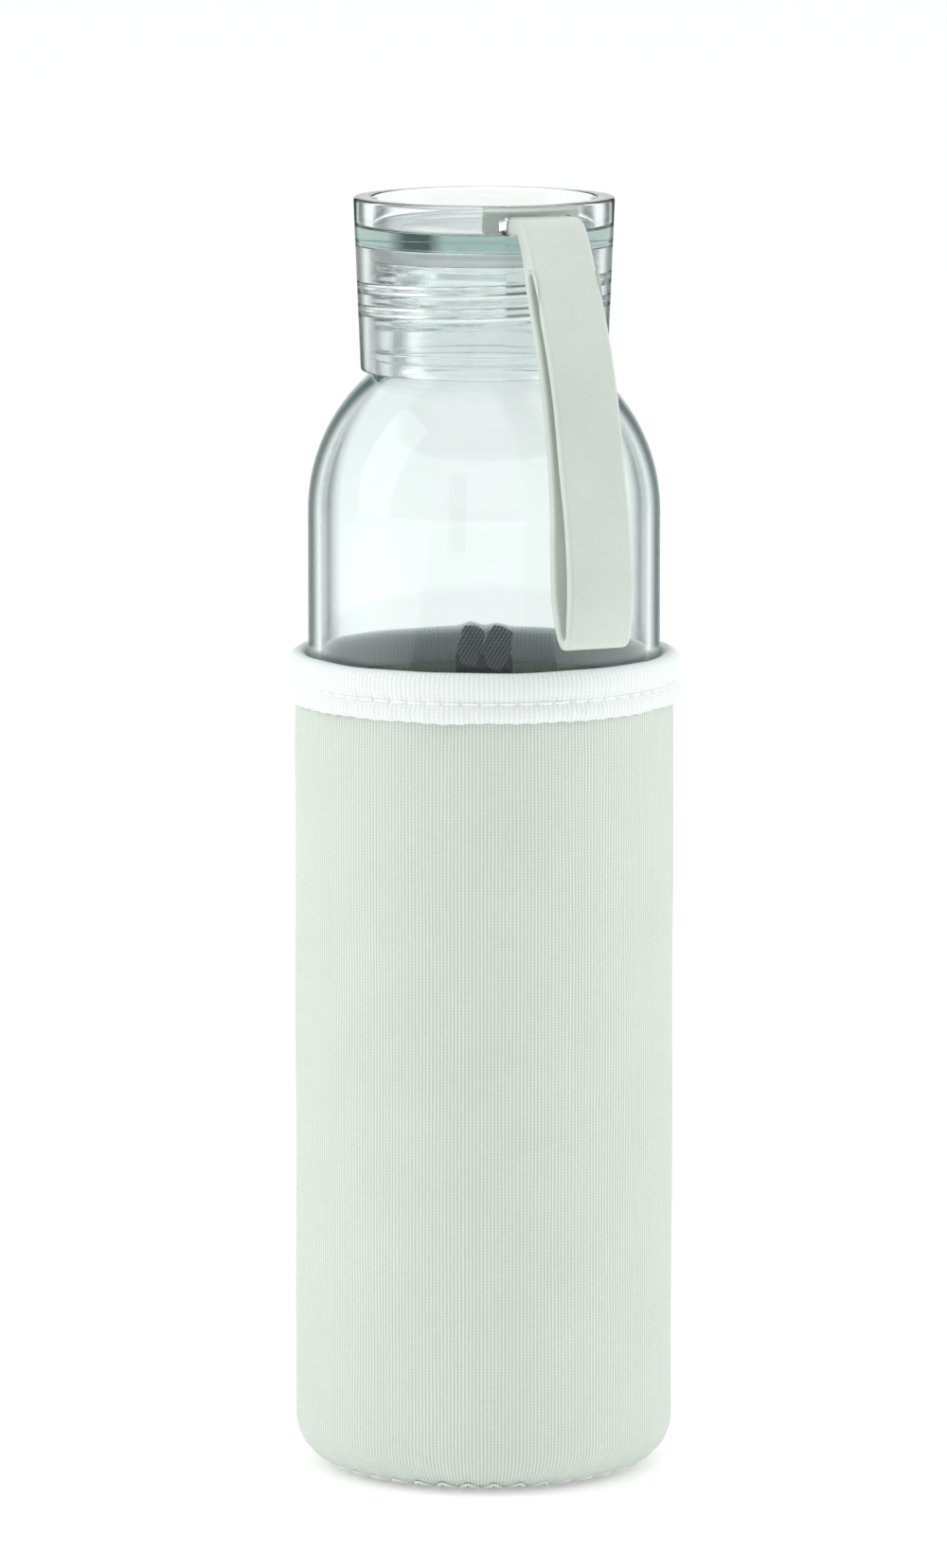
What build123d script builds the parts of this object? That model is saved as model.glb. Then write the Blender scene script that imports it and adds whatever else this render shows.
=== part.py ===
from build123d import *
import os
from math import acos, atan2, cos, degrees, radians, sin, sqrt

# Glass water bottle with a clear screw cap, a rubber carrying strap and a neoprene pouch.
# Millimetres. +Z is up, Z 0 is the underside of the pouch, and the bottle's axis is Z.
# The strap hangs on the -Y side. Angles about Z are counted from there, towards +X.

# ---- driving dimensions ------------------------------------------------------------------
total_height = 220.0
glass_radius = 30.3
glass_wall = 2.2
pouch_height = 142.1
pouch_radius = 32.6
cap_height = 29.8
cap_top_radius = 22.4
cap_foot_radius = 21.2

# glass bottle
shoulder_start = 166.0
shoulder_rise = 31.2
heel_radius = 6.0
foot_ring_radius = 20.0
punt_depth = 3.0
base_wall = 4.5
neck_radius = 18.5
mouth_radius = 16.2
mouth_height = 209.4
lip_fillet = 0.8
bead_radius = 19.2
bead_height = 193.4
bead_width = 1.6
bead_corner = 0.45

# screw thread, shared by the neck and the cap
thread_pitch = 3.8
thread_start = 197.3
thread_sink = 0.3
neck_thread_turns = 2.6
neck_crest_radius = 19.4
neck_thread_root = 2.2
neck_thread_crest = 1.1
cap_thread_turns = 2.2
cap_crest_radius = 18.9
cap_thread_root = 1.8
cap_thread_crest = 0.9

# cap
socket_radius = 19.8
recess_radius = 19.3
recess_depth = 5.2
plate_thickness = 2.9
rim_fillet = 0.7
recess_fillet = 0.8
seal_rib_inner = 14.2
seal_rib_outer = 15.4
seal_rib_depth = 1.6

# seal ring
seal_inner = 15.6
seal_outer = 19.5
seal_gap = 0.1
seal_fillet = 0.5

# strap: a moulded tongue through the cap's wall, and the loop that hangs from it
strap_width = 11.9
strap_thickness = 1.9
tongue_thickness = 3.0
tongue_lift = 0.25
slot_gap = 0.15
slot_side_gap = 0.3
slot_corner = 1.1
slot_start = 3.0
slot_length = 8.0
pivot_reach = 27.0
loop_top_gap = 0.25
loop_top_half = 1.55
loop_bottom = 147.0
loop_back_reach = 37.0
loop_front_reach = 45.0
hole_start = 0.06
hole_end = 0.94
hole_point_count = 17
anchor_half_angle = 27.0
anchor_depth = 2.4
anchor_height = 4.0
anchor_fillet = 0.6
strap_fillet = 0.4

# pouch
pouch_clearance = 0.3
pouch_wall = 1.5
heel_arc_radius = 7.4
base_panel_radius = 26.3
base_panel_thickness = 2.0
base_slope_radius = 23.4
base_slope_height = 0.95
panel_gap = 0.1
binding_gap = 0.05
binding_thickness = 0.4
binding_foot = 133.6
binding_foot_width = 0.25
binding_foot_gap = 0.6
binding_inner_foot = 136.2
binding_flare = (34.0, 135.2)
binding_waist = (33.25, 137.0)
binding_bulge = (33.75, 139.4)
seam_angle = 154.0
seam_groove_width = 4.6
seam_groove_depth = 0.5

# sewing threads
thread_width = 0.5
thread_depth = 0.35
thread_lift = 0.12
seam_lift = 0.02
binding_stitch_count = 66
binding_stitch_length = 2.5
base_zigzag_count = 40
base_zigzag_inner = 25.0
base_zigzag_outer = 28.1
side_zigzag_pitch = 3.2
side_zigzag_width = 3.2
side_zigzag_foot = 12.0
side_zigzag_top = 132.0

# ---- worked out --------------------------------------------------------------------------
bottle_floor = base_panel_thickness + 0.3
cap_foot = total_height - cap_height
recess_floor = total_height - recess_depth
plate_bottom = recess_floor - plate_thickness
glass_inner = glass_radius - glass_wall
tongue_middle = recess_floor + tongue_lift + tongue_thickness / 2
binding_inner = glass_radius + pouch_clearance
pouch_inner = pouch_radius - pouch_wall
heel_centre_radius = pouch_radius - heel_arc_radius
body_foot_radius = base_panel_radius + panel_gap
heel_drop = sqrt(heel_arc_radius**2 - (body_foot_radius - heel_centre_radius) ** 2)
heel_centre_height = base_slope_height + heel_drop
sleeve_top = pouch_height - 2 * binding_thickness
inner_floor = bottle_floor + base_wall
inner_heel = heel_radius - 1.0
inner_heel_arc = heel_arc_radius - pouch_wall
heel_mid = degrees(atan2(-heel_drop, body_foot_radius - heel_centre_radius)) / 2

# sketch plane through the axis, its X pointing out along the strap
strap_plane = Plane(origin=(0, 0, 0), x_dir=(0, -1, 0), z_dir=(-1, 0, 0))


def turned(angle, reach=0.0, height=0.0):
    """Plane square to a radius of the bottle, with its Y up and its normal pointing out."""
    turn = radians(angle)
    outward = (sin(turn), -cos(turn), 0)
    along = (cos(turn), sin(turn), 0)
    return Plane(
        origin=(reach * outward[0], reach * outward[1], height),
        x_dir=along,
        z_dir=outward,
    )


def arc_height(radius, centre, reach):
    """Height above the centre of an arc at a given reach from the axis."""
    return sqrt(radius**2 - (reach - centre) ** 2)


def arc_point(radius, centre, base, angle):
    """Point of an arc, by its angle above the horizontal."""
    return (centre + radius * cos(radians(angle)), base + radius * sin(radians(angle)))


def shoulder_points(reach, rise, neck_reach):
    """Points of a quarter oval from the side of the bottle to its neck."""
    turn = acos(neck_reach / reach)
    steps = (0, 0.2, 0.4, 0.6, 0.8, 1)
    return [
        (reach * cos(turn * step), shoulder_start + rise * sin(turn * step)) for step in steps
    ]


def thread_profile(inner, outer, inner_width, outer_width):
    """Half-sunk ridge section, from its inner to its outer reach."""
    return [
        (inner, -inner_width / 2),
        (outer, -outer_width / 2),
        (outer, outer_width / 2),
        (inner, inner_width / 2),
    ]


os.makedirs("parts", exist_ok=True)

# ---- glass bottle ------------------------------------------------------------------------
with BuildPart() as glass_bottle:
    with BuildSketch(Plane.XZ):
        with BuildLine():
            floor_line = Line((0, inner_floor + punt_depth), (0, bottle_floor + punt_depth))
            punt = Spline(
                floor_line @ 1, (foot_ring_radius, bottle_floor), tangents=[(1, 0), (1, -0.35)]
            )
            foot = Line(punt @ 1, (glass_radius - heel_radius, bottle_floor))
            heel = RadiusArc(foot @ 1, (glass_radius, bottle_floor + heel_radius), -heel_radius)
            side = Line(heel @ 1, (glass_radius, shoulder_start))
            shoulder = Spline(*shoulder_points(glass_radius, shoulder_rise, neck_radius))
            inner_shoulder = Spline(
                *shoulder_points(glass_inner, shoulder_rise - glass_wall, mouth_radius)
            )
            Polyline(
                shoulder @ 1,
                (neck_radius, mouth_height),
                (mouth_radius, mouth_height),
                inner_shoulder @ 1,
            )
            inner_side = Line(inner_shoulder @ 0, (glass_inner, inner_floor + inner_heel))
            inner_corner = RadiusArc(
                inner_side @ 1, (glass_inner - inner_heel, inner_floor), inner_heel
            )
            Spline(inner_corner @ 1, floor_line @ 0, tangents=[(-1, 0), (-1, 0)])
        make_face()
    revolve(axis=Axis.Z)
    lip = glass_bottle.edges().filter_by(GeomType.CIRCLE).group_by(Axis.Z)[-1]
    fillet(lip, lip_fillet)
    with BuildSketch(Plane.XZ):
        with Locations((neck_radius, bead_height)):
            RectangleRounded(2 * (bead_radius - neck_radius), bead_width, bead_corner)
    revolve(axis=Axis.Z)
    with BuildLine(mode=Mode.PRIVATE) as neck_helix:
        Helix(
            pitch=thread_pitch,
            height=thread_pitch * neck_thread_turns,
            radius=neck_radius,
            center=(0, 0, thread_start),
        )
    neck_start = Plane(
        origin=neck_helix.line @ 0, x_dir=(1, 0, 0), z_dir=neck_helix.line % 0
    )
    with BuildSketch(neck_start):
        Polygon(
            *thread_profile(
                -thread_sink,
                neck_crest_radius - neck_radius,
                neck_thread_root,
                neck_thread_crest,
            ),
            align=None,
        )
    sweep(path=neck_helix.line, is_frenet=True)
glass_bottle.part.label = "glass_bottle"
export_step(glass_bottle.part, "parts/glass_bottle.step")

# ---- seal ring ---------------------------------------------------------------------------
with BuildPart() as seal_ring:
    with BuildSketch(Plane.XZ):
        with Locations(((seal_inner + seal_outer) / 2, (mouth_height + plate_bottom) / 2)):
            RectangleRounded(
                seal_outer - seal_inner,
                plate_bottom - mouth_height - 2 * seal_gap,
                seal_fillet,
            )
    revolve(axis=Axis.Z)
seal_ring.part.label = "seal_ring"
export_step(seal_ring.part, "parts/seal_ring.step")

# ---- cap ---------------------------------------------------------------------------------
with BuildPart() as cap_shell:
    with BuildSketch(Plane.XZ):
        with BuildLine():
            Polyline(
                (0, plate_bottom),
                (seal_rib_inner, plate_bottom),
                (seal_rib_inner, plate_bottom - seal_rib_depth),
                (seal_rib_outer, plate_bottom - seal_rib_depth),
                (seal_rib_outer, plate_bottom),
                (socket_radius, plate_bottom),
                (socket_radius, cap_foot),
                (cap_foot_radius, cap_foot),
                (cap_top_radius, total_height),
                (recess_radius, total_height),
                (recess_radius, recess_floor),
                (0, recess_floor),
                close=True,
            )
        make_face()
    revolve(axis=Axis.Z)
    circles = cap_shell.edges().filter_by(GeomType.CIRCLE)
    rims = circles.group_by(Axis.Z)[-1]
    outer_foot = circles.group_by(Axis.Z)[0].sort_by(SortBy.RADIUS)[-1]
    fillet(rims + [outer_foot], rim_fillet)
    floor_edge = (
        cap_shell.edges()
        .filter_by(GeomType.CIRCLE)
        .filter_by(lambda edge: abs(edge.radius - recess_radius) < 0.01)
        .sort_by(Axis.Z)[0]
    )
    fillet(floor_edge, recess_fillet)
    # the strap's slot, through the front of the recess wall
    with BuildSketch(turned(0, recess_radius - slot_start, tongue_middle)):
        RectangleRounded(
            strap_width + 2 * slot_side_gap, tongue_thickness + 2 * slot_gap, slot_corner
        )
    extrude(amount=slot_length, mode=Mode.SUBTRACT)
    # the screw thread in the socket, half a pitch from the neck's
    with BuildLine(mode=Mode.PRIVATE) as cap_helix:
        Helix(
            pitch=thread_pitch,
            height=thread_pitch * cap_thread_turns,
            radius=socket_radius,
            center=(0, 0, thread_start + thread_pitch / 2),
        )
    cap_start = Plane(origin=cap_helix.line @ 0, x_dir=(1, 0, 0), z_dir=cap_helix.line % 0)
    with BuildSketch(cap_start):
        Polygon(
            *thread_profile(
                thread_sink,
                cap_crest_radius - socket_radius,
                cap_thread_root,
                cap_thread_crest,
            ),
            align=None,
        )
    sweep(path=cap_helix.line, is_frenet=True)
cap_shell.part.label = "cap_shell"
export_step(cap_shell.part, "parts/cap_shell.step")

# ---- strap anchor: head in the recess, tongue through the slot ---------------------------
head_outer = recess_radius - slot_gap
head_inner = head_outer - anchor_depth
head_foot = recess_floor + tongue_lift

with BuildPart() as strap_anchor:
    with BuildSketch(Plane.XY.offset(head_foot)):
        with BuildLine():
            left_out = (
                -head_outer * sin(radians(anchor_half_angle)),
                -head_outer * cos(radians(anchor_half_angle)),
            )
            left_in = (
                -head_inner * sin(radians(anchor_half_angle)),
                -head_inner * cos(radians(anchor_half_angle)),
            )
            outer_arc = ThreePointArc(left_out, (0, -head_outer), (-left_out[0], left_out[1]))
            inner_arc = ThreePointArc(left_in, (0, -head_inner), (-left_in[0], left_in[1]))
            Line(outer_arc @ 0, inner_arc @ 0)
            Line(outer_arc @ 1, inner_arc @ 1)
        make_face()
    extrude(amount=anchor_height)
    fillet(strap_anchor.edges(), anchor_fillet)
    with BuildSketch(strap_plane):
        with BuildLine():
            half_tongue = tongue_thickness / 2
            root = head_inner + anchor_depth / 2
            lower = Line(
                (root, tongue_middle - half_tongue), (pivot_reach, tongue_middle - half_tongue)
            )
            nose = ThreePointArc(
                lower @ 1,
                (pivot_reach + half_tongue, tongue_middle),
                (pivot_reach, tongue_middle + half_tongue),
            )
            Polyline(nose @ 1, (root, tongue_middle + half_tongue), lower @ 0)
        make_face()
    extrude(amount=strap_width / 2, both=True)
    nose_sides = (
        strap_anchor.edges()
        .filter_by(lambda edge: abs(abs(edge.center().X) - strap_width / 2) < 0.01)
        .filter_by(lambda edge: -edge.center().Y > head_outer)
    )
    fillet(nose_sides, strap_fillet)
strap_anchor.part.label = "strap_anchor"
export_step(strap_anchor.part, "parts/strap_anchor.step")

# ---- strap loop --------------------------------------------------------------------------
loop_top = tongue_middle - half_tongue - loop_top_gap
back_top = (pivot_reach - loop_top_half, loop_top)
front_top = (pivot_reach + loop_top_half, loop_top)

with BuildPart() as strap_loop:
    with BuildSketch(strap_plane):
        with BuildLine():
            outline = Spline(
                back_top,
                (33.2, 189.7),
                (loop_back_reach, 162.0),
                (38.4, 151.0),
                (42.3, loop_bottom),
                (loop_front_reach, 152.0),
                (44.3, 166.0),
                (39.3, 189.2),
                front_top,
                tangents=[(0.28, -1), (-0.45, 1)],
            )
            Line(outline @ 1, outline @ 0)
        make_face()
        with BuildLine():
            hole_points = []
            for index in range(hole_point_count):
                place = hole_start + (hole_end - hole_start) * index / (hole_point_count - 1)
                along = outline % place
                inward = Vector(-along.Y, along.X)
                hole_points.append(outline @ place + inward * strap_thickness)
            Spline(*hole_points, periodic=True)
        make_face(mode=Mode.SUBTRACT)
    extrude(amount=strap_width / 2, both=True)
strap_loop.part.label = "strap_loop"
export_step(strap_loop.part, "parts/strap_loop.step")

# ---- pouch: neoprene tube ----------------------------------------------------------------
inner_rise = arc_height(inner_heel_arc, heel_centre_radius, body_foot_radius)
with BuildPart() as sleeve_body:
    with BuildSketch(Plane.XZ):
        with BuildLine():
            inner_wall = Line((pouch_inner, sleeve_top), (pouch_inner, heel_centre_height))
            inner_bend = ThreePointArc(
                inner_wall @ 1,
                arc_point(inner_heel_arc, heel_centre_radius, heel_centre_height, heel_mid),
                (body_foot_radius, heel_centre_height - inner_rise),
            )
            outer_bend = ThreePointArc(
                (body_foot_radius, base_slope_height),
                arc_point(heel_arc_radius, heel_centre_radius, heel_centre_height, heel_mid),
                (pouch_radius, heel_centre_height),
            )
            Line(inner_bend @ 1, outer_bend @ 0)
            Polyline(outer_bend @ 1, (pouch_radius, sleeve_top), inner_wall @ 0)
        make_face()
    revolve(axis=Axis.Z)
    groove_foot = heel_centre_height + 1
    groove_length = binding_foot - groove_foot - binding_foot_gap
    with BuildSketch(turned(seam_angle, pouch_radius - seam_groove_depth, groove_foot)):
        Rectangle(seam_groove_width, groove_length, align=(Align.CENTER, Align.MIN))
    extrude(amount=2 * pouch_wall, mode=Mode.SUBTRACT)
sleeve_body.part.label = "sleeve_body"
export_step(sleeve_body.part, "parts/sleeve_body.step")

# ---- pouch: bottom panel -----------------------------------------------------------------
with BuildPart() as sleeve_base:
    with BuildSketch(Plane.XZ):
        Polygon(
            (0, 0),
            (base_slope_radius, 0),
            (base_panel_radius, base_slope_height),
            (base_panel_radius, base_panel_thickness),
            (0, base_panel_thickness),
            align=None,
        )
    revolve(axis=Axis.Z)
sleeve_base.part.label = "sleeve_base"
export_step(sleeve_base.part, "parts/sleeve_base.step")

# ---- pouch: binding over the mouth -------------------------------------------------------
with BuildPart() as top_binding:
    with BuildSketch(Plane.XZ):
        with BuildLine():
            outer_face = Spline(
                (pouch_radius + binding_foot_width, binding_foot),
                binding_flare,
                binding_waist,
                binding_bulge,
                (pouch_radius - binding_thickness, pouch_height),
            )
            top_face = Spline(
                outer_face @ 1,
                (binding_inner + 0.25, pouch_height - 0.5),
                (binding_inner, pouch_height - 1.6),
                tangents=[(-1, 0), (0, -1)],
            )
            Polyline(
                top_face @ 1,
                (binding_inner, binding_inner_foot),
                (pouch_inner - binding_gap, binding_inner_foot),
                (pouch_inner - binding_gap, sleeve_top + binding_gap),
                (pouch_radius + binding_gap, sleeve_top + binding_gap),
                (pouch_radius + binding_gap, binding_foot),
                outer_face @ 0,
            )
        make_face()
    revolve(axis=Axis.Z)
top_binding.part.label = "top_binding"
export_step(top_binding.part, "parts/top_binding.step")


def stitch_plane(first, second, outward):
    """Plane in the middle of a stitch: X along the thread, normal away from the cloth."""
    along = Vector(*second) - Vector(*first)
    middle = (Vector(*first) + Vector(*second)) / 2
    normal = Vector(*outward)
    normal = normal - along * (normal.dot(along) / along.dot(along))
    return Plane(origin=middle, x_dir=along, z_dir=normal), along.length


def ring_point(angle, reach, height):
    """Point at an angle about the bottle's axis."""
    turn = radians(angle)
    return (reach * sin(turn), -reach * cos(turn), height)


# ---- threads: straight row through the binding -------------------------------------------
binding_row = []
for index in range(binding_stitch_count):
    middle = 360 * index / binding_stitch_count
    swing = degrees(binding_stitch_length / 2 / binding_waist[0])
    reach = binding_waist[0] / cos(radians(swing)) + thread_lift
    binding_row.append(
        (
            ring_point(middle - swing, reach, binding_waist[1]),
            ring_point(middle + swing, reach, binding_waist[1]),
            ring_point(middle, 1, 0),
        )
    )
with BuildPart() as binding_stitching:
    for first, second, outward in binding_row:
        plane, length = stitch_plane(first, second, outward)
        with BuildSketch(plane):
            SlotOverall(length, thread_width)
        extrude(amount=thread_depth)
binding_stitching.part.label = "binding_stitching"
export_step(binding_stitching.part, "parts/binding_stitching.step")

# ---- threads: zigzag between tube and bottom ---------------------------------------------
slope = base_slope_height / (base_panel_radius - base_slope_radius)
inner_height = (base_zigzag_inner - base_slope_radius) * slope
outer_height = heel_centre_height - arc_height(
    heel_arc_radius, heel_centre_radius, base_zigzag_outer
)
base_row = []
for index in range(2 * base_zigzag_count):
    start, end = (180 * (index + part) / base_zigzag_count for part in (0.09, 0.91))
    inside = ring_point(start, base_zigzag_inner, inner_height - thread_lift)
    outside = ring_point(end, base_zigzag_outer, outer_height - thread_lift)
    if index % 2:
        inside = ring_point(end, base_zigzag_inner, inner_height - thread_lift)
        outside = ring_point(start, base_zigzag_outer, outer_height - thread_lift)
    base_row.append((inside, outside, (0, 0, -1)))
with BuildPart() as base_stitching:
    for first, second, outward in base_row:
        plane, length = stitch_plane(first, second, outward)
        with BuildSketch(plane):
            SlotOverall(length, thread_width)
        extrude(amount=thread_depth)
base_stitching.part.label = "base_stitching"
export_step(base_stitching.part, "parts/base_stitching.step")

# ---- threads: zigzag down the back seam --------------------------------------------------
side_row = []
side_reach = pouch_radius - seam_groove_depth + thread_lift + seam_lift
half_swing = degrees(side_zigzag_width / 2 / side_reach)
side_count = int((side_zigzag_top - side_zigzag_foot) / side_zigzag_pitch) * 2
for index in range(side_count):
    low, high = (
        side_zigzag_foot + side_zigzag_pitch / 2 * (index + part) for part in (0.12, 0.88)
    )
    side = 1 if index % 2 else -1
    side_row.append(
        (
            ring_point(seam_angle - side * half_swing, side_reach, low),
            ring_point(seam_angle + side * half_swing, side_reach, high),
            ring_point(seam_angle, 1, 0),
        )
    )
with BuildPart() as side_stitching:
    for first, second, outward in side_row:
        plane, length = stitch_plane(first, second, outward)
        with BuildSketch(plane):
            SlotOverall(length, thread_width)
        extrude(amount=thread_depth)
side_stitching.part.label = "side_stitching"
export_step(side_stitching.part, "parts/side_stitching.step")
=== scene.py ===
import bpy
from math import acos, atan2, cos, degrees, exp, pi, radians, sin, sqrt
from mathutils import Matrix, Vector


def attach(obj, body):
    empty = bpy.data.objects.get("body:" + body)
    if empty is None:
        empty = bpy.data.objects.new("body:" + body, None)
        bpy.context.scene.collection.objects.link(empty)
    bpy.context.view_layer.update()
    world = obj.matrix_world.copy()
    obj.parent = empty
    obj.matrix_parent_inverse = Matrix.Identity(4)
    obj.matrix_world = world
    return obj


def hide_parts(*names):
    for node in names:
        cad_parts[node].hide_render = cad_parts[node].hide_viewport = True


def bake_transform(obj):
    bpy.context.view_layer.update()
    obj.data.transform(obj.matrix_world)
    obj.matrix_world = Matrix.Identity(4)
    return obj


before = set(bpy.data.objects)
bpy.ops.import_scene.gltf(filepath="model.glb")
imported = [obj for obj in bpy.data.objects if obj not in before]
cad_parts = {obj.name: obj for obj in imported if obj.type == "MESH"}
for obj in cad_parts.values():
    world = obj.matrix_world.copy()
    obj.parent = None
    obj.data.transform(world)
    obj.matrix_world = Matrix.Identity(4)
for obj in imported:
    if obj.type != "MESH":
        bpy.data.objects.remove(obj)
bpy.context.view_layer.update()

mm = 0.001
scene = bpy.context.scene


def clearSelection():
    if bpy.context.object and bpy.context.object.mode != "OBJECT":
        bpy.ops.object.mode_set(mode="OBJECT")
    bpy.ops.object.select_all(action="DESELECT")


def nameActive(name):
    piece = bpy.context.object
    piece.name = piece.data.name = name
    return piece


def makeActive(piece):
    clearSelection()
    piece.select_set(True)
    bpy.context.view_layer.objects.active = piece


def settleTransform(piece):
    makeActive(piece)
    bpy.ops.object.transform_apply(location=True, rotation=True, scale=True)


def smoothByAngle(piece, degrees=35):
    makeActive(piece)
    bpy.ops.object.shade_smooth_by_angle(angle=radians(degrees))


def tidyNormals(piece):
    makeActive(piece)
    bpy.ops.object.mode_set(mode="EDIT")
    bpy.ops.mesh.select_all(action="SELECT")
    bpy.ops.mesh.remove_doubles(threshold=0.01 * mm)
    bpy.ops.mesh.normals_make_consistent(inside=False)
    bpy.ops.object.mode_set(mode="OBJECT")


def applyModifier(piece, kind, **settings):
    makeActive(piece)
    modifier = piece.modifiers.new(kind.title(), kind)
    for key, value in settings.items():
        setattr(modifier, key, value)
    bpy.ops.object.modifier_apply(modifier=modifier.name)


def spinProfile(name, profile, steps):
    # a chain of points drawn by extruding one vertex, then spun about the bottle's axis
    clearSelection()
    bpy.ops.mesh.primitive_plane_add(size=0.001, location=(0, 0, 0))
    piece = nameActive(name)
    bpy.ops.object.mode_set(mode="EDIT")
    bpy.ops.mesh.merge(type="CENTER")
    reach, height = profile[0]
    bpy.ops.transform.translate(value=(reach, 0, height))
    for (fromReach, fromHeight), (toReach, toHeight) in zip(profile, profile[1:]):
        step = (toReach - fromReach, 0, toHeight - fromHeight)
        bpy.ops.mesh.extrude_region_move(TRANSFORM_OT_translate={"value": step})
    bpy.ops.mesh.select_all(action="SELECT")
    bpy.ops.mesh.spin(steps=steps, angle=2 * pi, center=(0, 0, 0), axis=(0, 0, 1))
    bpy.ops.object.mode_set(mode="OBJECT")
    tidyNormals(piece)
    return piece


def arcPoints(centre, radius, fromDegrees, toDegrees, count):
    points = []
    for index in range(count):
        turn = radians(fromDegrees + (toDegrees - fromDegrees) * index / (count - 1))
        points.append((centre[0] + radius * cos(turn), centre[1] + radius * sin(turn)))
    return points


def pushPoints(piece, amountAt):
    # moves each point along its normal by amountAt(angle about the axis, height, reach)
    mesh = piece.data
    normals = [vertex.normal.copy() for vertex in mesh.vertices]
    for vertex, normal in zip(mesh.vertices, normals):
        x, y, z = vertex.co
        vertex.co += normal * amountAt(atan2(x, -y), z, sqrt(x * x + y * y))
    mesh.update()


class Nodes:
    # short ways to add and join shader nodes
    def __init__(self, name):
        self.material = bpy.data.materials.new(name)
        self.material.use_nodes = True
        self.tree = self.material.node_tree
        self.shader = self.tree.nodes["Principled BSDF"]

    def add(self, kind, **settings):
        node = self.tree.nodes.new("ShaderNode" + kind)
        for key, value in settings.items():
            setattr(node, key, value)
        return node

    def plug(self, value, socket):
        if hasattr(value, "is_output"):
            self.tree.links.new(value, socket)
        else:
            socket.default_value = value

    def math(self, operation, first, second=0.0):
        node = self.add("Math", operation=operation)
        self.plug(first, node.inputs[0])
        self.plug(second, node.inputs[1])
        return node.outputs[0]

    def times(self, value, amount):
        return self.math("MULTIPLY", value, amount)

    def plus(self, first, second):
        return self.math("ADD", first, second)

    def mix(self, factor, first, second):
        node = self.add("Mix", data_type="RGBA")
        self.plug(factor, node.inputs["Factor"])
        self.plug(first, node.inputs["A"])
        self.plug(second, node.inputs["B"])
        return node.outputs["Result"]

    def remap(self, value, fromLow, fromHigh, toLow, toHigh):
        node = self.add("MapRange")
        self.plug(value, node.inputs["Value"])
        for key, number in zip(
            ("From Min", "From Max", "To Min", "To Max"), (fromLow, fromHigh, toLow, toHigh)
        ):
            node.inputs[key].default_value = number
        return node.outputs["Result"]

    def place(self, scale=(1, 1, 1)):
        coords = self.add("TexCoord")
        mapping = self.add("Mapping")
        mapping.inputs["Scale"].default_value = scale
        self.plug(coords.outputs["Object"], mapping.inputs["Vector"])
        return mapping.outputs["Vector"]

    def noise(self, place, scale, detail=2.0, roughness=0.5):
        node = self.add("TexNoise")
        self.plug(place, node.inputs["Vector"])
        node.inputs["Scale"].default_value = scale
        node.inputs["Detail"].default_value = detail
        node.inputs["Roughness"].default_value = roughness
        return node.outputs["Fac"]

    def aroundAxis(self, place):
        # angle about the bottle's axis, and the height
        split = self.add("SeparateXYZ")
        self.plug(place, split.inputs[0])
        return self.math("ARCTAN2", split.outputs["Y"], split.outputs["X"]), split.outputs["Z"]

    def flatAxes(self, place):
        split = self.add("SeparateXYZ")
        self.plug(place, split.inputs[0])
        return split.outputs["X"], split.outputs["Y"]

    def bump(self, height, strength, distance):
        node = self.add("Bump")
        node.inputs["Strength"].default_value = strength
        node.inputs["Distance"].default_value = distance
        self.plug(height, node.inputs["Height"])
        self.plug(node.outputs["Normal"], self.shader.inputs["Normal"])

    def finish(self, **sockets):
        for key, value in sockets.items():
            self.shader.inputs[key].default_value = value
        return self.material


def knitMaterial(name, look):
    n = Nodes(name)
    place = n.place()
    across, along = n.aroundAxis(place) if look["round"] else n.flatAxes(place)
    drift = n.noise(n.place((1, 1, 0.12)), look["driftScale"], 3)
    phase = n.plus(n.times(across, look["ribs"]), n.times(drift, look["drift"]))
    phase = n.plus(phase, n.times(along, look["slant"]))
    rib = n.math("SINE", phase)
    rowPhase = n.times(along, 2 * pi / look["rowPitch"])
    row = n.math("SINE", n.plus(rowPhase, n.times(rib, look["rowLean"])))
    loops = n.plus(n.times(rib, look["ribShare"]), n.times(row, 1 - look["ribShare"]))
    fuzz = n.noise(place, look["fuzzScale"], 2, 0.7)
    patches = n.noise(place, look["patchScale"], 3)
    shade = n.plus(n.times(loops, look["ribShade"]), n.times(fuzz, look["fuzzShade"]))
    shade = n.plus(shade, n.times(patches, look["patchShade"]))
    tone = n.remap(shade, -0.25, 0.65, 0.0, 1.0)
    n.plug(n.mix(tone, look["dark"], look["light"]), n.shader.inputs["Base Color"])
    n.bump(n.plus(loops, n.times(fuzz, look["fuzzRise"])), look["bump"], look["ribDepth"])
    return n.finish(**{
        "Roughness": 0.86,
        "Sheen Weight": look["sheen"],
        "Sheen Roughness": 0.5,
        "Specular IOR Level": 0.25,
    })


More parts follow.
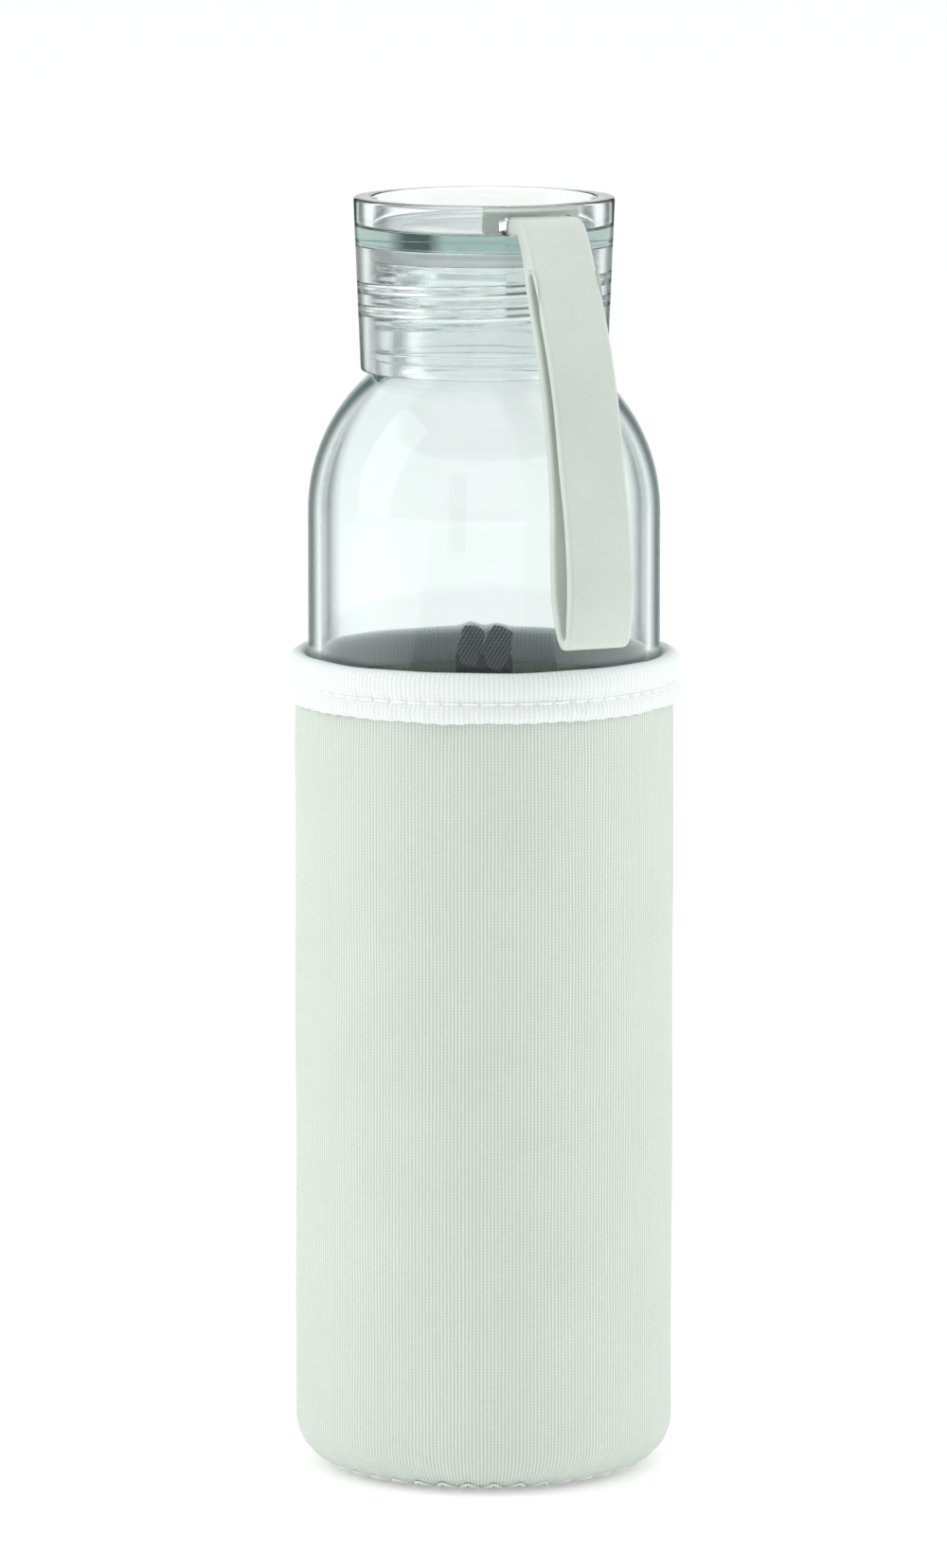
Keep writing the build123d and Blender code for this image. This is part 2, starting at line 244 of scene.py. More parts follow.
def clearMaterial(name, look):
    n = Nodes(name)
    absorb = n.add("VolumeAbsorption")
    absorb.inputs["Color"].default_value = look["tint"]
    absorb.inputs["Density"].default_value = look["density"]
    n.plug(absorb.outputs[0], n.tree.nodes["Material Output"].inputs["Volume"])
    if look["ripple"]:
        ripple = n.noise(n.place((1, 1, look["rippleStretch"])), look["rippleScale"], 2)
        n.bump(ripple, look["ripple"], look["rippleDepth"])
    if look["haze"]:
        # moulded inside faces are hazier than the polished outside
        split = n.add("SeparateXYZ")
        n.plug(n.place(), split.inputs[0])
        x, y, z = (split.outputs[axis] for axis in "XYZ")
        reach = n.math("SQRT", n.plus(n.times(x, x), n.times(y, y)))
        inside = n.remap(reach, look["hazeReach"], look["hazeReach"] - look["hazeEdge"], 0, 1)
        below = n.remap(z, look["hazeTop"], look["hazeTop"] - look["hazeEdge"], 0, 1)
        haze = n.remap(n.times(inside, below), 0, 1, look["polish"], look["haze"])
        n.plug(haze, n.shader.inputs["Roughness"])
    else:
        n.shader.inputs["Roughness"].default_value = 0.0
    return n.finish(**{
        "Base Color": (1, 1, 1, 1),
        "Transmission Weight": 1.0,
        "IOR": look["ior"],
    })


def rubberMaterial(name, look):
    n = Nodes(name)
    place = n.place()
    cloud = n.noise(place, look["cloudScale"], 3)
    grain = n.noise(place, look["grainScale"], 2)
    tone = n.remap(n.plus(cloud, n.times(grain, 0.4)), 0.5, 0.9, 0.0, 1.0)
    n.plug(n.mix(tone, look["dark"], look["light"]), n.shader.inputs["Base Color"])
    rough = n.remap(grain, 0.3, 0.7, look["rough"] - 0.05, look["rough"] + 0.07)
    n.plug(rough, n.shader.inputs["Roughness"])
    n.bump(n.plus(grain, n.times(cloud, 0.5)), look["bump"], look["grainDepth"])
    return n.finish(**{
        "Subsurface Weight": look["soft"],
        "Subsurface Radius": (0.6, 0.6, 0.5),
        "Subsurface Scale": 0.001,
        "Specular IOR Level": 0.5,
        "Coat Weight": look["coat"],
        "Coat Roughness": 0.25,
    })


# ribs is how many there are round the bottle, a whole number so that the pattern closes;
# on the flat panel it is radians for each metre
knitLook = {
    "round": True, "ribs": 330, "ribShare": 0.72, "ribShade": 0.44, "ribDepth": 0.00012,
    "slant": 0.0, "rowPitch": 0.00048, "rowLean": 0.9, "driftScale": 220, "drift": 3.2,
    "fuzzScale": 5200, "fuzzShade": 0.22, "fuzzRise": 0.6, "patchScale": 60, "patchShade": 0.18,
    "bump": 0.55, "sheen": 0.18,
    "dark": (0.50, 0.555, 0.50, 1), "light": (0.78, 0.825, 0.775, 1),
}
tapeLook = dict(
    knitLook, ribs=250, ribShade=0.26, rowPitch=0.0006, bump=0.4, sheen=0.12,
    dark=(0.68, 0.72, 0.715, 1), light=(0.93, 0.955, 0.95, 1),
)
panelLook = dict(knitLook, round=False, ribs=2 * pi / 0.00062)
# the binding's white tape, darkened into painted shade for its turned-in ends inside the sleeve
rollPaintedShadeLook = dict(
    tapeLook, slant=5200.0, ribShade=0.7,
    dark=(0.05, 0.07, 0.07, 1), light=(0.50, 0.56, 0.55, 1),
)
rubberLook = {
    "dark": (0.56, 0.61, 0.56, 1), "light": (0.62, 0.67, 0.625, 1), "rough": 0.36, "soft": 0.1,
    "coat": 0.35, "cloudScale": 45, "grainScale": 2600, "bump": 0.12, "grainDepth": 0.00005,
}
threadLook = dict(
    rubberLook, rough=0.6, soft=0.0, coat=0.0,
    dark=(0.88, 0.90, 0.89, 1), light=(0.96, 0.97, 0.965, 1),
)
# near-black: the neoprene's own dark cut edge, darkened further as painted shade of the hollow
# inside the sleeve
neopreneAndShadeLook = dict(
    threadLook, rough=0.8, dark=(0.006, 0.009, 0.010, 1), light=(0.035, 0.045, 0.048, 1)
)
glassLook = {
    "tint": (0.55, 0.73, 0.71, 1), "density": 85.0, "ior": 1.5, "haze": 0.0,
    "ripple": 0.03, "rippleStretch": 0.25, "rippleScale": 30.0, "rippleDepth": 0.0004,
}
capLook = dict(
    glassLook, tint=(0.58, 0.72, 0.70, 1), density=58.0, haze=0.09, polish=0.02,
    hazeReach=0.0206, hazeTop=0.2135, hazeEdge=0.0004,
    ripple=0.015, rippleStretch=1.0, rippleScale=60.0,
)
sealLook = dict(
    capLook, tint=(0.86, 0.90, 0.89, 1), density=140.0, ior=1.42, haze=0.45, ripple=0.0
)

materials = {
    "knit": knitMaterial("ribbedKnit", knitLook),
    "tape": knitMaterial("bindingKnit", tapeLook),
    "glass": clearMaterial("bottleGlass", glassLook),
    "cap": clearMaterial("clearPlastic", capLook),
    "rubber": rubberMaterial("satinRubber", rubberLook),
    "seal": clearMaterial("sealSilicone", sealLook),
    "panel": knitMaterial("basePanelKnit", panelLook),
    "thread": rubberMaterial("sewingThread", threadLook),
    "neopreneShade": rubberMaterial("darkNeopreneAndPaintedShade", neopreneAndShadeLook),
    "roll": knitMaterial("turnedInKnitPaintedShade", rollPaintedShadeLook),
}
print("materials ready")


def dress(piece, material):
    piece.data.materials.clear()
    piece.data.materials.append(materials[material])


def roundedChain(corners, steps=5):
    # corners are (reach, height, rounding) in millimetres; rounded ones become short arcs
    chain = []
    for index, (reach, height, rounding) in enumerate(corners):
        here = Vector((reach, height))
        if not rounding:
            chain.append(here * mm)
            continue
        before = (Vector(corners[index - 1][:2]) - here).normalized()
        after = (Vector(corners[(index + 1) % len(corners)][:2]) - here).normalized()
        for step in range(steps + 1):
            t = step / steps
            start, end = here + before * rounding, here + after * rounding
            chain.append((start * (1 - t) ** 2 + here * 2 * t * (1 - t) + end * t**2) * mm)
    return [tuple(point) for point in chain]


def rowsBetween(reach, fromHeight, toHeight, count):
    return [
        (reach, fromHeight + (toHeight - fromHeight) * row / count, 0) for row in range(count + 1)
    ]


def shoulderRows(reach, foot, rise, neck, count=30):
    # quarter oval from the side of the bottle up to its neck
    turn = acos(neck / reach)
    return [
        (reach * cos(turn * step / count), foot + rise * sin(turn * step / count), 0)
        for step in range(count + 1)
    ]


def ridge(offset, crest, root):
    # soft section of a moulded thread, 1 on its crest and 0 beyond its root
    t = min(1, max(0, (root - abs(offset)) / (root - crest)))
    return t * t * (3 - 2 * t)


def threadLift(angle, height, thread):
    # how far the screw thread stands up at a place on the wall
    turned = ((angle - pi / 2) / (2 * pi)) % 1
    lift = 0
    for turn in range(int(thread["turns"]) + 1):
        along = turned + turn
        if along > thread["turns"]:
            continue
        middle = thread["start"] + thread["pitch"] * along
        ends = min(1, along / thread["fade"], (thread["turns"] - along) / thread["fade"])
        lift = max(lift, ends * ridge(height / mm - middle, thread["crest"], thread["root"]))
    return lift * thread["height"] * mm


bottle = {
    "steps": 300, "floor": 2.3, "footRing": (20.0, 24.3), "side": 30.3, "heel": 6.0, "punt": 3.0,
    "sideFoot": 12.0, "shoulder": 166.0, "rise": 31.2, "neck": 18.5, "bead": 19.2,
    "beadHeights": (192.6, 194.2), "mouth": 209.4, "bore": 16.2, "boreFoot": 192.0,
    "inner": 28.1, "innerFloor": 6.8, "innerHeel": 5.0, "innerRise": 29.0,
    "threadRows": 84, "threadZone": (194.5, 195.6),
    "thread": {
        "start": 197.3, "pitch": 3.8, "turns": 2.6, "fade": 0.1,
        "height": 0.9, "crest": 0.35, "root": 1.15,
    },
}


def makeGlass(look):
    # every size in millimetres, the third number of an outline point is its rounding
    floor, side, heel, neck = look["floor"], look["side"], look["heel"], look["neck"]
    ringIn, ringOut = look["footRing"]
    inner, innerFloor, innerHeel = look["inner"], look["innerFloor"], look["innerHeel"]
    bead, bore, mouth = look["bead"], look["bore"], look["mouth"]
    beadFoot, beadTop = look["beadHeights"]
    threadBase, threadFoot = look["threadZone"]
    outline = []
    for step in range(10):
        dome = 0.5 + 0.5 * cos(pi * step / 10)
        outline.append((ringIn * step / 10, floor + look["punt"] * dome, 0))
    outline += [(ringIn, floor, 0), (ringOut, floor, 0)]
    outline += [(*spot, 0) for spot in arcPoints((side - heel, floor + heel), heel, -80, 0, 9)]
    outline += rowsBetween(side, look["sideFoot"], look["shoulder"] - 1, 40)
    outline += shoulderRows(side, look["shoulder"], look["rise"], neck)
    outline += [(neck, beadFoot, 0.15), (bead, beadFoot, 0.4)]
    outline += [(bead, beadTop, 0.4), (neck, beadTop, 0.15)]
    outline += rowsBetween(neck, threadFoot, mouth - 1.2, look["threadRows"])
    outline += [(neck, mouth, 0.8), (bore, mouth, 0.8)]
    outline += rowsBetween(bore, mouth - 2, look["boreFoot"], 8)
    outline += shoulderRows(inner, look["shoulder"], look["innerRise"], bore)[::-1]
    outline += rowsBetween(inner, look["shoulder"] - 1, innerFloor + innerHeel, 40)
    centre = (inner - innerHeel, innerFloor + innerHeel)
    outline += [(*spot, 0) for spot in arcPoints(centre, innerHeel, -10, -90, 9)]
    for step in range(1, 11):
        dome = 0.5 - 0.5 * cos(pi * step / 10)
        reach = (inner - innerHeel) * (1 - step / 10)
        outline.append((reach, innerFloor + look["punt"] * dome, 0))
    glass = spinProfile("glassBody", roundedChain(outline), look["steps"])

    def relief(angle, height, reach):
        onNeck = reach >= (neck - 0.1) * mm and height >= threadBase * mm
        return threadLift(angle, height, look["thread"]) if onNeck else 0

    pushPoints(glass, relief)
    smoothByAngle(glass, 60)
    dress(glass, "glass")
    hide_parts("glass_bottle")
    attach(glass, "bottle")


cap = {
    "steps": 300, "top": 220.0, "foot": 190.2, "topReach": 22.4, "footReach": 21.2, "socket": 19.8,
    "recess": 19.3, "recessFloor": 214.8, "plate": 211.9, "rib": (14.2, 15.4, 210.3), "corner": 0.7,
    "slot": (12.5, 3.3, 216.55), "slotCorner": 1.1, "slotDepths": (16.5, 24.5),
    "threadRows": 88, "threadFoot": 197.6, "plainTop": 196.6,
    "thread": {
        "start": 199.2, "pitch": 3.8, "turns": 2.2, "fade": 0.1,
        "height": 0.85, "crest": 0.3, "root": 0.95,
    },
}


def makeCap(look):
    ribIn, ribOut, ribFoot = look["rib"]
    plate, socket, foot, top = look["plate"], look["socket"], look["foot"], look["top"]
    recess, recessFloor, corner = look["recess"], look["recessFloor"], look["corner"]
    outline = [(0, plate, 0), (ribIn / 2, plate, 0), (ribIn, plate, 0.15), (ribIn, ribFoot, 0.25)]
    outline += [(ribOut, ribFoot, 0.25), (ribOut, plate, 0.15), (socket, plate, 0.3)]
    outline += rowsBetween(socket, plate - 1.4, look["threadFoot"], look["threadRows"])
    outline += rowsBetween(socket, look["plainTop"], foot + 1.2, 4)
    outline += [(socket, foot, 0.35), (look["footReach"], foot, corner)]
    outline += [(look["topReach"], top, corner), (recess, top, corner)]
    outline += [(recess, recessFloor, 0.8), (recess / 2, recessFloor, 0), (0, recessFloor, 0)]
    shell = spinProfile("capShell", roundedChain(outline), look["steps"])

    def relief(angle, height, reach):
        inSocket = abs(reach - socket * mm) < 0.05 * mm and height < (plate - 0.9) * mm
        return threadLift(angle, height, look["thread"]) if inSocket else 0

    pushPoints(shell, relief)
    cutSlot(shell, look)
    smoothByAngle(shell, 50)
    dress(shell, "cap")
    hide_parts("cap_shell")
    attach(shell, "cap")


def cutSlot(shell, look):
    # the strap's slot in the front of the rim, its long edges rounded
    width, tall, middle = look["slot"]
    near, far = look["slotDepths"]
    clearSelection()
    bpy.ops.mesh.primitive_cube_add(size=1, location=(0, -(near + far) / 2 * mm, middle * mm))
    cutter = nameActive("slotCutter")
    cutter.scale = (width * mm, (far - near) * mm, tall * mm)
    settleTransform(cutter)
    bpy.ops.object.mode_set(mode="EDIT")
    bpy.ops.mesh.select_all(action="DESELECT")
    bpy.ops.object.mode_set(mode="OBJECT")
    for edge in cutter.data.edges:
        first, second = (cutter.data.vertices[index].co for index in edge.vertices)
        edge.select = abs(first.y - second.y) > 1 * mm
    bpy.ops.object.mode_set(mode="EDIT")
    bpy.ops.mesh.bevel(offset=look["slotCorner"] * mm, segments=5)
    bpy.ops.object.mode_set(mode="OBJECT")
    applyModifier(shell, "BOOLEAN", operation="DIFFERENCE", solver="EXACT", object=cutter)
    bpy.data.objects.remove(cutter)


makeGlass(bottle)
makeCap(cap)
dress(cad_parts["seal_ring"], "seal")
print("bottle and cap made")


pouch = {
    "steps": 420, "rows": 46, "innerRows": 12, "panelSteps": 180, "radius": 32.6 * mm,
    "inner": 31.1 * mm, "top": 141.2 * mm, "heel": 7.4 * mm, "heelTop": 8.23 * mm,
    "panel": 26.3 * mm, "panelTop": 2.0 * mm, "panelEdge": 0.95 * mm, "panelFlat": 23.4 * mm,
    "seam": radians(154), "seamHalf": 1.5 * mm, "seamDepth": 0.42 * mm,
}


def bell(offset, width):
    # 1 at the middle, fading smoothly to nothing
    return exp(-((offset / width) ** 2))


def seamOffset(angle, reach):
    # distance along the cloth from the back seam
    return ((angle - pouch["seam"] + pi) % (2 * pi) - pi) * reach


def smoothChain(points, parts):
    # rounded line through the points, closed on itself
    chain = []
    count = len(points)
    for index in range(count):
        p0, p1, p2, p3 = (Vector(points[(index + step) % count]) for step in (-1, 0, 1, 2))
        for part in range(parts):
            t = part / parts
            chain.append(tuple(
                0.5 * (2 * p1 + (p2 - p0) * t + (2 * p0 - 5 * p1 + 4 * p2 - p3) * t**2
                       + (3 * p1 - p0 - 3 * p2 + p3) * t**3)
            ))
    return chain + chain[:1]


def makeSleeve(look):
    radius, inner, heel = look["radius"], look["inner"], look["heel"]
    top, heelTop = look["top"], look["heelTop"]
    rows, innerRows = look["rows"], look["innerRows"]
    centre = (radius - heel, heelTop)
    foot = look["panel"] + 0.1 * mm
    footTurn = -acos((foot - centre[0]) / heel)
    profile = arcPoints(centre, heel, degrees(footTurn), 0, 12)
    profile += [(radius, heelTop + (top - heelTop) * row / rows) for row in range(1, rows + 1)]
    profile += [(inner, top - (top - heelTop) * row / innerRows) for row in range(innerRows + 1)]
    profile += arcPoints(centre, heel - (radius - inner), 0, -78, 7)[1:]
    profile += profile[:1]
    sleeve = spinProfile("sleeveCloth", profile, look["steps"])

    def relief(angle, height, reach):
        if reach < radius - 0.4 * mm and height > heelTop:
            return 0
        fromSeam = seamOffset(angle, reach)
        slack = 0.05 * sin(2 * angle + 0.6) + 0.07 * sin(3 * angle + 90 * height)
        slack += 0.05 * sin(5 * angle - 60 * height + 1.3) + 0.03 * sin(11 * angle + 140 * height)
        underBand, nearFoot = bell(height - 0.1335, 0.004), bell(height - 0.001, 0.004)
        slack -= 0.10 * underBand * (1 + sin(9 * angle + 0.7))
        slack += 0.12 * nearFoot * cos(baseSeam["zigzags"] * angle)
        valley = -look["seamDepth"] * bell(fromSeam, look["seamHalf"])
        rolls = 0.12 * mm * (bell(fromSeam - 0.0028, 0.0012) + bell(fromSeam + 0.0028, 0.0012))
        return slack * mm + valley + rolls

    pushPoints(sleeve, relief)
    smoothByAngle(sleeve, 50)
    dress(sleeve, "knit")
    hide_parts("sleeve_body")
    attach(sleeve, "pouch")


def makeBasePanel(look):
    top, edge, flat, outer = (look[key] for key in ("panelTop", "panelEdge", "panelFlat", "panel"))
    profile = [(flat * step / 6, 0) for step in range(7)]
    profile += [(flat + 1.2 * mm, 0.18 * mm), (outer - 0.5 * mm, edge - 0.35 * mm), (outer, edge)]
    profile += [(outer, edge + 0.7 * mm), (outer - 0.4 * mm, top), (flat, top), (0, top)]
    panel = spinProfile("basePanelCloth", profile, look["panelSteps"])
    smoothByAngle(panel, 50)
    dress(panel, "panel")
    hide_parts("sleeve_base")
    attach(panel, "pouch")


binding = {
    "stitches": 66, "stitchHeight": 136.95 * mm, "stitchReach": 33.42 * mm, "stitchShare": 0.86,
    "steps": 594,
    "outline": [
        (32.72, 133.75), (33.45, 133.85), (34.0, 134.9), (33.85, 136.1), (33.3, 136.95),
        (33.62, 137.9), (33.82, 139.3), (33.72, 140.6), (33.15, 141.65), (32.2, 142.08),
        (31.3, 141.85), (30.75, 141.1), (30.55, 139.8), (30.55, 138.2), (30.6, 136.4),
        (30.85, 136.2), (31.02, 137.2), (31.05, 140.6), (31.9, 141.25), (32.68, 140.6),
        (32.66, 137.0),
    ],
}


def makeBinding(look):
    outline = [(reach * mm, height * mm) for reach, height in look["outline"]]
    tape = spinProfile("bindingTape", smoothChain(outline, 2), look["steps"])

    def relief(angle, height, reach):
        outside = reach > 32.8 * mm
        pull = bell(height - look["stitchHeight"], 0.0011)
        between = 0.5 + 0.5 * cos(look["stitches"] * angle)
        amount = -0.2 * mm * pull * between if outside else 0
        if outside and height < look["stitchHeight"]:
            amount += 0.09 * mm * cos(look["stitches"] * angle) + 0.06 * mm * sin(17 * angle)
        if height > 0.1395 or outside and height > look["stitchHeight"]:
            fromSeam = seamOffset(angle, reach)
            lift = bell(fromSeam - 0.0024, 0.0017) + 0.8 * bell(fromSeam + 0.0024, 0.0018)
            amount += 0.75 * mm * lift * min(1, max(0, (reach - 0.0304) / 0.0012))
        if outside or height > 0.1405:
            amount += 0.05 * mm * sin(7 * angle + 0.4) + 0.04 * mm * sin(13 * angle + 500 * height)
        return amount

    pushPoints(tape, relief)
    smoothByAngle(tape, 60)
    dress(tape, "tape")
    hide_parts("top_binding")
    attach(tape, "pouch")


def curvedBlock(name, look, middle):
    # block that follows the round of the bottle, a half angle to each side of its middle
    reaches, heights, half = look["reaches"], look["heights"], look["half"]
    clearSelection()
    bpy.ops.mesh.primitive_plane_add(size=1, location=(0, 0, 0), rotation=(pi / 2, 0, 0))
    block = nameActive(name)
    block.scale = (reaches[1] - reaches[0], heights[1] - heights[0], 1)
    block.location = (sum(reaches) / 2, 0, sum(heights) / 2)
    settleTransform(block)
    block.rotation_euler = (0, 0, middle - pi / 2 - half)
    settleTransform(block)
    bpy.ops.object.mode_set(mode="EDIT")
    bpy.ops.mesh.select_all(action="SELECT")
    bpy.ops.mesh.spin(steps=28, angle=-2 * half, center=(0, 0, 0), axis=(0, 0, 1))
    bpy.ops.object.mode_set(mode="OBJECT")
    tidyNormals(block)
    applyModifier(
        block, "BEVEL", width=look["corner"], segments=4, limit_method="ANGLE",
        angle_limit=radians(40),
    )
    smoothByAngle(block, 40)
    return block


seamEnd = {
    "reaches": (30.5 * mm, 30.9 * mm), "heights": (20 * mm, 137.4 * mm), "half": radians(9.6),
    "corner": 0.2 * mm,
}


def makeSeamEnd(look):
    # dark cut edge of the neoprene, folded inside the back seam; its near-black colour is partly
    # the neoprene's own and partly painted shade
    block = curvedBlock("seamAllowance", look, pouch["seam"])
    dress(block, "neopreneShade")
    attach(block, "pouch")


# each roll: across the seam, height, width and length in millimetres, and its lean in degrees
seamRolls = {
    "rolls": ((2.6, 138.6, 5.2, 7.6, -20), (-2.4, 138.2, 6.2, 8.2, -30)),
    "reach": 30.7 * mm, "depth": 0.66 * mm,
}


def makeSeamRolls(look):
    # the binding's two turned-in ends, lying over the seam; the white tape is coloured dark grey
    # here as painted shade
    rolls = []
    for across, up, width, length, lean in look["rolls"]:
        clearSelection()
        bpy.ops.mesh.primitive_uv_sphere_add(segments=48, ring_count=28, radius=0.5)
        roll = nameActive("bindingRoll")
        applyModifier(roll, "CAST", cast_type="CUBOID", factor=0.4)
        for size, turn, place in (
            ((width * mm, look["depth"], length * mm), (0, radians(lean), 0), (0, 0, 0)),
            ((1, 1, 1), (0, 0, 0), (0, -look["reach"], up * mm)),
            ((1, 1, 1), (0, 0, pouch["seam"] + across * mm / look["reach"]), (0, 0, 0)),
        ):
            roll.scale, roll.rotation_euler, roll.location = size, turn, place
            settleTransform(roll)
        rolls.append(roll)
    clearSelection()
    for roll in rolls:
        roll.select_set(True)
    bpy.context.view_layer.objects.active = rolls[0]
    bpy.ops.object.join()
    pair = nameActive("bindingRolls")

    def relief(angle, height, reach):
        crease = sin(900 * height + 40 * angle) + sin(1700 * height - 160 * angle)
        return 0.05 * mm * crease if reach > look["reach"] else 0

    pushPoints(pair, relief)
    smoothByAngle(pair, 60)
    dress(pair, "roll")
    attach(pair, "pouch")


thread = {"sides": 8, "rings": 7, "radius": 0.24 * mm, "dip": 0.22 * mm}
baseSeam = {
    "zigzags": 40, "inner": (25.0 * mm, 0.33 * mm), "outer": (28.9 * mm, 1.62 * mm),
    "radius": 0.3 * mm, "dip": 0.05 * mm,
}
sideSeam = {
    "foot": 12 * mm, "top": 132 * mm, "pitch": 3.2 * mm, "width": 3.2 * mm, "sunk": 0.05 * mm,
}


def makeStitch(look, radius, dip):
    # one thread bar, 1 metre long on X until it is placed, its ends dipping into the cloth
    clearSelection()
    bpy.ops.mesh.primitive_cylinder_add(
        vertices=look["sides"], radius=radius, depth=1, rotation=(0, pi / 2, 0)
    )
    stitch = nameActive("stitch")
    settleTransform(stitch)
    bpy.ops.object.mode_set(mode="EDIT")
    for index in range(1, look["rings"]):
        bpy.ops.mesh.select_all(action="SELECT")
        place = -0.5 + index / look["rings"]
        bpy.ops.mesh.bisect(plane_co=(place, 0, 0), plane_no=(1, 0, 0))
    bpy.ops.object.mode_set(mode="OBJECT")
    for vertex in stitch.data.vertices:
        x, y, z = vertex.co
        end = abs(2 * x)
        twist = 1 + 0.14 * cos(2 * atan2(z, y) + 14 * x)
        narrow = twist * (1 - 0.45 * end**6)
        vertex.co = (x, y * narrow, z * narrow - dip * end**4)
    return stitch


def sewRow(name, stitches, node, radius=thread["radius"], dip=thread["dip"]):
    # stitches are pairs of ends with the direction that points out of the cloth
    pattern = makeStitch(thread, radius, dip)
    copies = []
    for first, second, out in stitches:
        along = second - first
        length = along.length
        across = out.cross(along).normalized()
        up = along.cross(across).normalized()
        middle = (first + second) / 2
        copy = bpy.data.objects.new(name, pattern.data.copy())
        scene.collection.objects.link(copy)
        for vertex in copy.data.vertices:
            x, y, z = vertex.co
            vertex.co = middle + along.normalized() * x * length + across * y + up * z
        copies.append(copy)
    bpy.data.objects.remove(pattern)
    clearSelection()
    for copy in copies:
        copy.select_set(True)
    bpy.context.view_layer.objects.active = copies[0]
    bpy.ops.object.join()
    row = nameActive(name)
    smoothByAngle(row, 60)
    dress(row, "thread")
    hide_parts(node)
    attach(row, "pouch")


def ringPoint(angle, reach, height):
    return Vector((reach * sin(angle), -reach * cos(angle), height))


def sewBinding(look):
    count = look["stitches"]
    half = look["stitchShare"] * pi / count
    reach = look["stitchReach"]
    stitches = []
    for index in range(count):
        middle = 2 * pi * (index + 0.5) / count
        ends = (ringPoint(middle + side * half, reach, look["stitchHeight"]) for side in (-1, 1))
        stitches.append((*ends, ringPoint(middle, 1, 0)))
    sewRow("bindingThreads", stitches, "binding_stitching")


def sewBase(look):
    count = look["zigzags"]
    stitches = []
    for index in range(2 * count):
        start, end = (pi * (index + part) / count for part in (0.06, 0.94))
        if index % 2:
            start, end = end, start
        inside, outside = ringPoint(start, *look["inner"]), ringPoint(end, *look["outer"])
        stitches.append((inside, outside, Vector((0, 0, -1)) + 0.4 * ringPoint(end, 1, 0)))
    sewRow("baseThreads", stitches, "base_stitching", radius=look["radius"], dip=look["dip"])


def sewSide(look, middle, reach):
    foot, pitch = look["foot"], look["pitch"]
    count = int((look["top"] - foot) / pitch) * 2
    swing = look["width"] / 2 / reach
    stitches = []
    for index in range(count):
        side = 1 if index % 2 else -1
        low, high = (foot + pitch / 2 * (index + part) for part in (0.05, 0.95))
        first = ringPoint(middle - side * swing, reach, low)
        second = ringPoint(middle + side * swing, reach, high)
        stitches.append((first, second, ringPoint(middle, 1, 0)))
    sewRow("sideThreads", stitches, "side_stitching")


makeSleeve(pouch)
makeBasePanel(pouch)
makeBinding(binding)
makeSeamEnd(seamEnd)
makeSeamRolls(seamRolls)
print("pouch cloth made")
sewBinding(binding)
sewBase(baseSeam)
sewSide(sideSeam, pouch["seam"], pouch["radius"] - sideSeam["sunk"])
print("pouch sewn")


strap = {
    "width": 11.9 * mm, "thickness": 1.85 * mm, "edge": 0.72 * mm,
    "outline": [
        (25.35, 213.6), (27.6, 206.6), (31.8, 195.0), (34.7, 184.2), (36.6, 172.5), (37.0, 160.5),
        (38.5, 151.2), (42.2, 147.0), (44.8, 152.0), (44.4, 166.0), (42.0, 177.5), (39.4, 189.5),
        (35.0, 201.8), (31.0, 210.0), (28.3, 215.0), (26.0, 217.6),
    ],
    "tongue": [(24.3, 218.05), (18.0, 218.05), (18.0, 215.05), (24.3, 215.05)],
}
strapHead = {
    "reaches": (16.75 * mm, 19.15 * mm), "heights": (215.05 * mm, 219.05 * mm),
    "half": radians(27), "corner": 0.6 * mm,
}


def makeStrap(look):
    # side view drawn as a filled curve in the strap's own plane, given its width by extruding
    clearSelection()
    bpy.ops.curve.primitive_bezier_circle_add(radius=0.01)
    piece = nameActive("carryingStrap")
    curve = piece.data
    curve.dimensions = "2D"
    curve.fill_mode = "BOTH"
    curve.resolution_u = 10
    curve.splines.clear()
    rounded = [(reach * mm, height * mm) for reach, height in look["outline"]]
    tongue = [(reach * mm, height * mm) for reach, height in look["tongue"]]
    outer = curve.splines.new("BEZIER")
    corners = rounded + tongue
    outer.bezier_points.add(len(corners) - 1)
    for index, (point, corner) in enumerate(zip(outer.bezier_points, corners)):
        point.co = (*corner, 0)
        kind = "AUTO" if index < len(rounded) else "VECTOR"
        point.handle_left_type = point.handle_right_type = kind
    outer.bezier_points[len(rounded)].handle_left_type = "AUTO"
    outer.use_cyclic_u = True
    # the hole keeps the band's thickness inside the rounded outline
    hole = curve.splines.new("BEZIER")
    inner = []
    for index in range(1, len(rounded) - 2):
        before, here, after = (Vector(rounded[index + step]) for step in (-1, 0, 1))
        along = (after - before).normalized()
        inward = Vector((-along.y, along.x))
        inner.append(here + inward * look["thickness"])
    hole.bezier_points.add(len(inner) - 1)
    for point, place in zip(hole.bezier_points, inner):
        point.co = (*place, 0)
        point.handle_left_type = point.handle_right_type = "AUTO"
    hole.use_cyclic_u = True
    curve.extrude = look["width"] / 2 - look["edge"]
    curve.bevel_depth = look["edge"]
    curve.bevel_resolution = 4
    curve.offset = -look["edge"]
    # drawn flat, then stood up so that its X runs out along -Y and its Y runs up
    piece.rotation_euler = (pi / 2, 0, -pi / 2)
    makeActive(piece)
    bpy.ops.object.convert(target="MESH")
    settleTransform(piece)
    tidyNormals(piece)
    smoothByAngle(piece, 40)
    applyModifier(piece, "WEIGHTED_NORMAL", keep_sharp=True, weight=60)
    dress(piece, "rubber")
    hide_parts("strap_anchor", "strap_loop")
    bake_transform(piece)


def makeStrapHead(look):
    head = curvedBlock("strapHead", look, 0)
    dress(head, "rubber")
    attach(head, "cap")


makeStrap(strap)
makeStrapHead(strapHead)
print("strap made")


